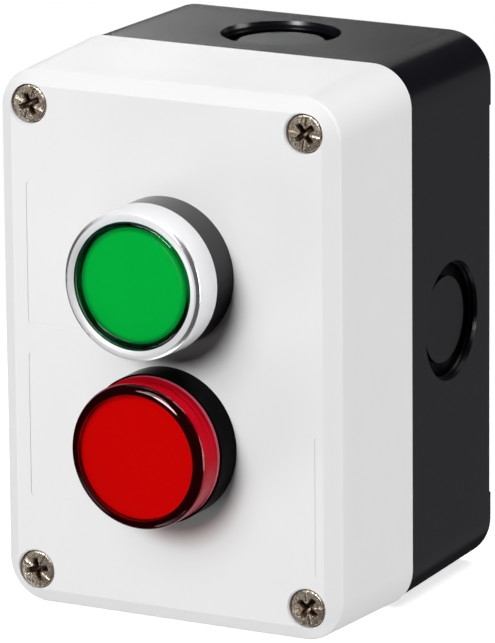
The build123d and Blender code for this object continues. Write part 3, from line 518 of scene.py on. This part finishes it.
def eased(corners):
    """Outline points from (radius, height, rounding) corners: each rounded corner becomes a tangent arc."""
    points = []
    for index, (x, y, rounding) in enumerate(corners):
        here = Vector((x, y))
        if not rounding:
            points.append(here)
            continue
        before = (Vector(corners[index - 1][:2]) - here).normalized()
        after = (Vector(corners[(index + 1) % len(corners)][:2]) - here).normalized()
        half_angle = before.angle(after) / 2
        centre = here + (before + after).normalized() * (rounding / math.sin(half_angle))
        reach = rounding / math.tan(half_angle)
        start = here + before * reach - centre
        end = here + after * reach - centre
        sweep = start.angle_signed(end)
        steps = max(ARC_STEPS, round(rounding * ARC_STEPS_PER_MM))
        for step in range(steps + 1):
            turn = Matrix.Rotation(-sweep * step / steps, 2)
            points.append(centre + turn @ start)
    return points


def add_object(name, data):
    made = bpy.data.objects.new(name, data)
    bpy.context.scene.collection.objects.link(made)
    return made


def link(name, builder, material_name, body, node, sharp=40):
    """Turns a finished bmesh into a piece that rides on a body and replaces a CAD node."""
    bmesh.ops.recalc_face_normals(builder, faces=builder.faces)
    mesh = bpy.data.meshes.new(name)
    builder.to_mesh(mesh)
    builder.free()
    mesh.shade_smooth()
    mesh.set_sharp_from_angle(angle=math.radians(sharp))
    mesh.materials.append(MATERIALS[material_name])
    piece = add_object(name, mesh)
    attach(piece, body)
    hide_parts(node)
    return piece


def bridge(builder, first, second):
    """Faces between two rings, or between a ring and a single vertex."""
    count = max(len(first), len(second))
    for step in range(count):
        onward = (step + 1) % count
        ring = [first[step % len(first)], first[onward % len(first)],
                second[onward % len(second)], second[step % len(second)]]
        face = list(dict.fromkeys(ring))
        if len(face) > 2:
            builder.faces.new(face)


def turned_mesh(corners, axis_z):
    """A closed ring or cap: an outline of (radius, reach, rounding) corners turned about an axis along Y."""
    builder = bmesh.new()
    loops = []
    for radius, height in eased(corners):
        y = FACE_Y - height * MM
        if radius < ON_AXIS:
            loops.append([builder.verts.new((0, y, axis_z))])
            continue
        loop = []
        for step in range(TURNED_SEGMENTS):
            angle = 2 * math.pi * step / TURNED_SEGMENTS
            x = radius * MM * math.cos(angle)
            z = axis_z + radius * MM * math.sin(angle)
            loop.append(builder.verts.new((x, y, z)))
        loops.append(loop)
    for first, second in zip(loops, loops[1:] + loops[:1]):
        bridge(builder, first, second)
    return builder


# ------------------------------------------- the push button and the pilot light


def build_bezel():
    """A ring with a rounded lip that slopes in towards the cap."""
    outer = radius_of("button_bezel")
    front = front_of("button_bezel")
    rear = rear_of("button_bezel")
    draft = 0.25
    sleeve = BEZEL_OPENING + 0.9
    lip_thickness = 1.75
    lip_drop = 0.17
    chamfer_width = 0.56
    chamfer_drop = 0.36
    corners = [
        (sleeve, rear, 0),
        (outer, rear, 0.12),
        (outer - draft, front - chamfer_drop, 0.3),
        (outer - draft - chamfer_width, front, 0.25),
        (sleeve, front, 0.5),
        (BEZEL_OPENING, front - lip_drop, 0.1),
        (BEZEL_OPENING, front - lip_thickness, 0),
        (sleeve, front - lip_thickness, 0),
    ]
    link("bezel_ring", turned_mesh(corners, BUTTON_Z), "bezel_metal", "enclosure", "button_bezel")


def build_green_cap():
    """The clear cap, with a faint step near its edge."""
    outer = radius_of("button_lens")
    front = front_of("button_lens")
    rear = rear_of("button_lens")
    inner = outer - 0.89
    thickness = 1.3
    step_radius = 10.45
    step_depth = 0.05
    corners = [
        (0, front - step_depth, 0),
        (step_radius, front - step_depth, 0.1),
        (step_radius + step_depth, front, 0.1),
        (outer, front, 0.5),
        (outer, rear, 0.05),
        (inner, rear, 0.05),
        (inner, front - thickness, 0.15),
        (0, front - thickness, 0),
    ]
    link("green_cap", turned_mesh(corners, BUTTON_Z), "lens_green", "button", "button_lens")


def build_green_disc():
    """The shallow cup of milky plastic behind the clear cap."""
    front = front_of("button_diffuser")
    rear = rear_of("button_diffuser")
    thickness = 0.9
    inner = GREEN_DISC_RADIUS - thickness
    corners = [
        (0, front, 0),
        (GREEN_DISC_RADIUS, front, 0.25),
        (GREEN_DISC_RADIUS, rear, 0),
        (inner, rear, 0),
        (inner, front - thickness, 0),
        (0, front - thickness, 0),
    ]
    link("green_diffuser", turned_mesh(corners, BUTTON_Z), "diffuser_green", "button", "button_diffuser")


def build_red_cap():
    """The thick-rimmed clear cap of the pilot light, with fine light-spreading ribs inside its wall."""
    outer = radius_of("pilot_lens")
    front = front_of("pilot_lens")
    rear = rear_of("pilot_lens")
    draft = 0.03
    thickness = 1.5
    rib_pitch = 0.5
    rib_depth = 0.1
    corners = [
        (0, front, 0),
        (outer - draft, front, 1.9),
        (outer, rear, 0.15),
        (RED_CAP_BORE, rear, 0),
    ]
    height = rear + rib_pitch
    while height < front - thickness - rib_pitch:
        corners.append((RED_CAP_BORE, height, 0))
        corners.append((RED_CAP_BORE + rib_depth, height + rib_pitch / 2, 0))
        height += rib_pitch
    corners.append((RED_CAP_BORE, front - thickness, 0.2))
    corners.append((0, front - thickness, 0))
    link("red_cap", turned_mesh(corners, PILOT_Z), "lens_red", "enclosure", "pilot_lens")


build_bezel()
build_green_cap()
build_green_disc()
build_red_cap()


# ------------------------------------------------------------------ lid screws

# Sizes in millimetres; each corner's screw, by its side in X and in Z, is left at its own angle in degrees
SCREW_TURNS = {(-1, 1): 25, (1, 1): 38, (-1, -1): 12, (1, -1): 55}
HEAD_RADIUS = 3.55
HEAD_ROUNDING = 0.35
HEAD_THICKNESS = 2.3
DOME_DROP = 0.14
RECESS_REACH = 2.3
RECESS_DEPTH = 1.7
RECESS_HALF_WIDTH = 0.6
RECESS_WALL_SLOPE = 4.0
TICK_START = 1.3
TICK_END = 3.1
TICK_HALF_WIDTH = 0.2
TICK_DEPTH = 0.16
SHANK_RADIUS = 1.75
THREAD_HEIGHT = 0.2
THREAD_PITCH = 0.9
SHANK_LENGTH = 38.0
POINT_LENGTH = 2.0
POINT_SHARE = 0.35
HEAD_RINGS = 54
HEAD_SEGMENTS = 144
SHANK_SEGMENTS = 24
SHANK_STEP = 0.15


def recess_depth(u, v):
    """How deep one bar of the cross recess is at a point of the head: tapered along it and across it."""
    along = RECESS_DEPTH * (1 - (abs(u) / RECESS_REACH) ** 2)
    across = (RECESS_HALF_WIDTH - abs(v)) * RECESS_WALL_SLOPE
    return max(0.0, min(along, across))


def head_height(radius, angle):
    """Height of the head's top at a point, 0 at its centre before the recess is cut."""
    u = radius * math.cos(angle)
    v = radius * math.sin(angle)
    height = -DOME_DROP * (radius / HEAD_RADIUS) ** 2
    edge = radius - (HEAD_RADIUS - HEAD_ROUNDING)
    if edge > 0:
        height -= HEAD_ROUNDING - math.sqrt(max(0.0, HEAD_ROUNDING ** 2 - edge ** 2))
    height -= max(recess_depth(u, v), recess_depth(v, u))
    diagonal = (angle % (math.pi / 2)) - math.pi / 4
    off_tick = abs(radius * math.sin(diagonal))
    if TICK_START < radius < TICK_END and off_tick < TICK_HALF_WIDTH:
        height -= TICK_DEPTH * (1 - off_tick / TICK_HALF_WIDTH)
    return height


def shank_radius(depth, angle):
    """Radius of the threaded shank, this far below the head; it tapers to a blunt point."""
    phase = (depth / THREAD_PITCH + angle / (2 * math.pi)) % 1
    ridge = 1 - abs(2 * phase - 1)
    taper = min(1.0, (SHANK_LENGTH - depth) / POINT_LENGTH)
    return (SHANK_RADIUS + THREAD_HEIGHT * ridge) * (POINT_SHARE + (1 - POINT_SHARE) * taper)


def ring_of(builder, place, count, radius, height):
    """Vertices round a screw's axis; radius and height are functions of the angle."""
    ring = []
    for step in range(count):
        angle = 2 * math.pi * step / count
        reach = radius(angle)
        spot = Vector((reach * math.cos(angle), -height(angle), reach * math.sin(angle))) * MM
        ring.append(builder.verts.new(place @ spot))
    return ring


def bridge_all(builder, rings):
    for first, second in zip(rings, rings[1:]):
        bridge(builder, first, second)


def add_screw(builder, x, z, turn):
    """One screw, as a closed head and a closed shank that starts at the head's underside."""
    top_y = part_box("lid_screws")[0].y
    place = Matrix.Translation((x, top_y, z)) @ Matrix.Rotation(-math.radians(turn), 4, "Y")
    under = -HEAD_THICKNESS
    head = [ring_of(builder, place, 1, lambda angle: 0.0, lambda angle: head_height(0.0, 0.0))]
    for index in range(1, HEAD_RINGS + 1):
        radius = HEAD_RADIUS * index / HEAD_RINGS
        head.append(ring_of(builder, place, HEAD_SEGMENTS, lambda angle: radius,
                            lambda angle: head_height(radius, angle)))
    head.append(ring_of(builder, place, HEAD_SEGMENTS, lambda angle: HEAD_RADIUS, lambda angle: under))
    bridge_all(builder, head)
    builder.faces.new(head[-1])
    shank = []
    depth = 0.0
    while depth <= SHANK_LENGTH:
        shank.append(ring_of(builder, place, SHANK_SEGMENTS, lambda angle: shank_radius(depth, angle),
                             lambda angle: under - depth))
        depth += SHANK_STEP
    bridge_all(builder, shank)
    builder.faces.new(shank[0])
    builder.faces.new(shank[-1])


def build_screws():
    """Four cross-recess screws in the lid's corners."""
    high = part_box("lid_screws")[1]
    reach_x = high.x - HEAD_RADIUS * MM
    reach_z = high.z - HEAD_RADIUS * MM
    builder = bmesh.new()
    for (side, end), turn in SCREW_TURNS.items():
        add_screw(builder, side * reach_x, end * reach_z, turn)
    link("cross_screws", builder, "screw_nickel", "enclosure", "lid_screws", sharp=35)


build_screws()


# --------------------------------------------------------------------- springs

SPRING_STEPS_PER_TURN = 40
SPRING_SIDES = 10
ALONG_Y = Vector((0, 1, 0))


def spring_mesh(centre, radius, wire, front, rear, turns):
    """A coil about Y from front to rear, as a tube mesh; wire is the wire's radius."""
    builder = bmesh.new()
    count = int(turns * SPRING_STEPS_PER_TURN)
    rings = []
    for index in range(count + 1):
        share = index / count
        angle = 2 * math.pi * turns * share
        y = front + wire + (rear - front - 2 * wire) * share
        outward = Vector((math.cos(angle), 0, math.sin(angle)))
        spot = Vector((centre[0], y, centre[1])) + outward * radius
        ring = []
        for side in range(SPRING_SIDES):
            around = 2 * math.pi * side / SPRING_SIDES
            offset = outward * math.cos(around) + ALONG_Y * math.sin(around)
            ring.append(builder.verts.new(spot + offset * wire))
        rings.append(ring)
    bridge_all(builder, rings)
    builder.faces.new(rings[0])
    builder.faces.new(rings[-1])
    return builder


def build_spring(node, body, wire, turns):
    """A coil spring in the space of its CAD node, riding on its body."""
    low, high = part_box(node)
    centre = ((low.x + high.x) / 2, (low.z + high.z) / 2)
    radius = (high.x - low.x) / 2 - wire
    builder = spring_mesh(centre, radius, wire, low.y, high.y, turns)
    piece = link(node.replace("spring", "coil"), builder, "spring_steel", body, node, sharp=60)
    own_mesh(piece)


build_spring("button_return_spring", "enclosure", 0.4 * MM, 7)
build_spring("pusher_return_spring", "enclosure", 0.25 * MM, 5)
build_spring("contact_spring", "contact_pusher", 0.2 * MM, 6)


# ---------------------------------------------------------------------- stage

WHITE = (1.0, 1.0, 1.0, 1.0)
AMBIENT = 0.02
LAMP_DISTANCE = 2.0
# Each lamp has the azimuth and elevation it shines from, in degrees, its width in metres and its watts.
# Azimuth 0 is in front of the lid and 90 is to its right.
LAMPS = {
    "main": (355, 22, 0.7, 28.8),
    "main_left": (338, 28, 0.5, 4.4),
    "main_high": (352, 38, 0.9, 7.0),
    "right": (108, 5, 1.05, 15.2),
    "right_level": (100, -10, 0.9, 10.9),
    "right_high": (120, 62, 1.05, 13.7),
    "right_low": (120, -25, 1.05, 3.2),
    "right_rear": (152, -15, 1.6, 0.9),
    "above": (175, 70, 1.7, 9.0),
    "rear_left": (215, 25, 0.5, 5.0),
    "rear": (200, 28, 0.8, 0.6),
    "left_low": (300, -25, 1.05, 7.4),
    "below": (15, -84, 1.2, 20.0),
}


def build_world():
    """White to the camera and nearly dark to the object, which the lamps light."""
    world = bpy.data.worlds.new("studio")
    bpy.context.scene.world = world
    world.use_nodes = True
    graph = Graph(world.node_tree)
    path = graph.node("ShaderNodeLightPath").outputs
    level = graph.ramp(path["Is Camera Ray"], 0.0, 1.0, AMBIENT, 1.0)
    backdrop = graph.node("ShaderNodeBackground", {"Color": WHITE, "Strength": level}).outputs[0]
    graph.node("ShaderNodeOutputWorld", {"Surface": backdrop})


def direction_to(azimuth, elevation):
    turn = math.radians(azimuth)
    tilt = math.radians(elevation)
    return Vector((math.sin(turn) * math.cos(tilt), -math.cos(turn) * math.cos(tilt), math.sin(tilt)))


def build_lamp(name, azimuth, elevation, width, watts):
    """A round soft lamp that faces the middle of the object and isn't seen itself."""
    light = bpy.data.lights.new(name, "AREA")
    light.shape = "DISK"
    light.size = width
    light.energy = watts
    lamp = add_object(name, light)
    towards = direction_to(azimuth, elevation)
    lamp.location = (cad_box[0] + cad_box[1]) / 2 + towards * LAMP_DISTANCE
    lamp.rotation_mode = "QUATERNION"
    lamp.rotation_quaternion = towards.to_track_quat("Z", "Y")
    lamp.visible_camera = False


def pale_floor(graph):
    """A pale floor near the object that turns into the white backdrop further out."""
    near_radius = 0.08
    far_radius = 0.2
    lit = graph.node("ShaderNodeBsdfDiffuse", {"Color": (0.9, 0.9, 0.9, 1.0)}).outputs[0]
    near = graph.node("ShaderNodeAddShader", {0: lit, 1: graph.glow(WHITE, 0.7)}).outputs[0]
    distance = graph.length(graph.place())
    return graph.shader_mix(graph.ramp(distance, near_radius, far_radius), near, graph.glow(WHITE, 1.0))


def build_floor():
    """A flat floor under the object that adds no light to it."""
    half_width = 4.0
    builder = bmesh.new()
    bmesh.ops.create_grid(builder, x_segments=1, y_segments=1, size=half_width)
    mesh = bpy.data.meshes.new("floor")
    builder.to_mesh(mesh)
    builder.free()
    material("floor_pale", pale_floor)
    mesh.materials.append(MATERIALS["floor_pale"])
    floor = add_object("floor", mesh)
    floor.location.z = cad_box[0].z
    floor.visible_glossy = False
    floor.visible_diffuse = False
    floor.visible_shadow = False


CAMERA_AZIMUTH = 27.90
CAMERA_ELEVATION = 14.70
CAMERA_ROLL = -0.52
CAMERA_DISTANCE = 1258.7 * MM
CAMERA_LENS = 373.8
CAMERA_AIM = Vector((0.04, -31.9, -0.86)) * MM


def build_camera():
    """A long lens that looks at the object from its right and a little above."""
    lens = bpy.data.cameras.new("camera")
    lens.lens = CAMERA_LENS
    lens.clip_start = 0.05
    lens.clip_end = 20.0
    camera = add_object("camera", lens)
    back = direction_to(CAMERA_AZIMUTH, CAMERA_ELEVATION)
    level_right = direction_to(CAMERA_AZIMUTH + 90, 0)
    level_up = back.cross(level_right)
    roll = math.radians(CAMERA_ROLL)
    right = level_right * math.cos(roll) + level_up * math.sin(roll)
    up = level_up * math.cos(roll) - level_right * math.sin(roll)
    axes = Matrix((right, up, back)).transposed()
    camera.matrix_world = Matrix.Translation(CAMERA_AIM + back * CAMERA_DISTANCE) @ axes.to_4x4()
    bpy.context.scene.camera = camera


build_world()
build_floor()
for name, (azimuth, elevation, width, watts) in LAMPS.items():
    build_lamp(name, azimuth, elevation, width, watts)
build_camera()
bpy.context.scene.view_settings.view_transform = "Standard"
